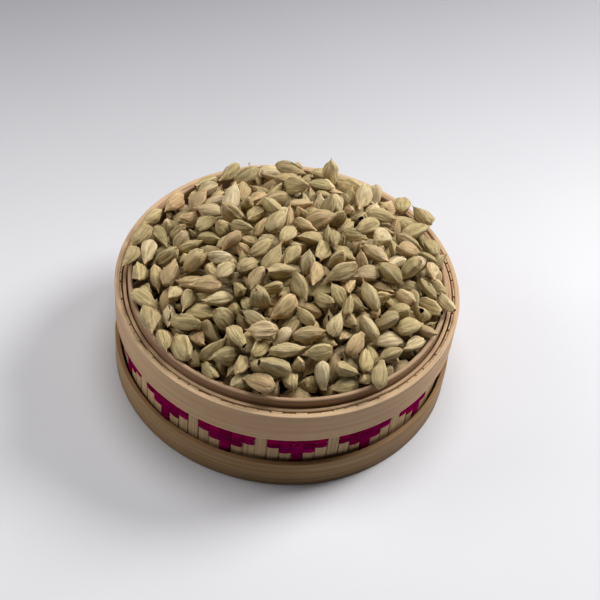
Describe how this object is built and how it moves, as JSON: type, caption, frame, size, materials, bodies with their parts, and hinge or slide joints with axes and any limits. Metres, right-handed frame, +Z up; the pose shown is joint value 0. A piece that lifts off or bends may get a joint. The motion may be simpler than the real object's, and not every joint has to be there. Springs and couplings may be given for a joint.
{
  "type": "dish of green cardamom pods",
  "caption": "Small round box of split bamboo with two hoops, a woven wall with magenta figures and a thin raised collar, heaped with dried green cardamom pods.",
  "frame": {"origin": "middle of the dish on the surface it stands on", "axes": "+Z up; -Y is the side the picture is taken from; +X to its right"},
  "size_m": [0.153, 0.153, 0.0751],
  "materials": {
    "hoop_bamboo": "smooth split bamboo, satin, fine grain along the band",
    "woven_bamboo": "thin bamboo strips, matt, fibrous",
    "dyed_bamboo": "bamboo strips dyed magenta, matt",
    "collar_bamboo": "thin bamboo band, satin",
    "base_bamboo": "plain bamboo mat, matt",
    "cardamom_pods": "dry papery husk, matt, khaki green, ribbed lengthwise"
  },
  "bodies": {
    "root": {"upper_hoop": "hoop_bamboo", "lower_hoop": "hoop_bamboo", "woven_wall": "woven_bamboo", "inner_collar": "collar_bamboo", "base_mat": "base_bamboo", "cardamom_heap": "cardamom_pods"}
  },
  "joints": []
}
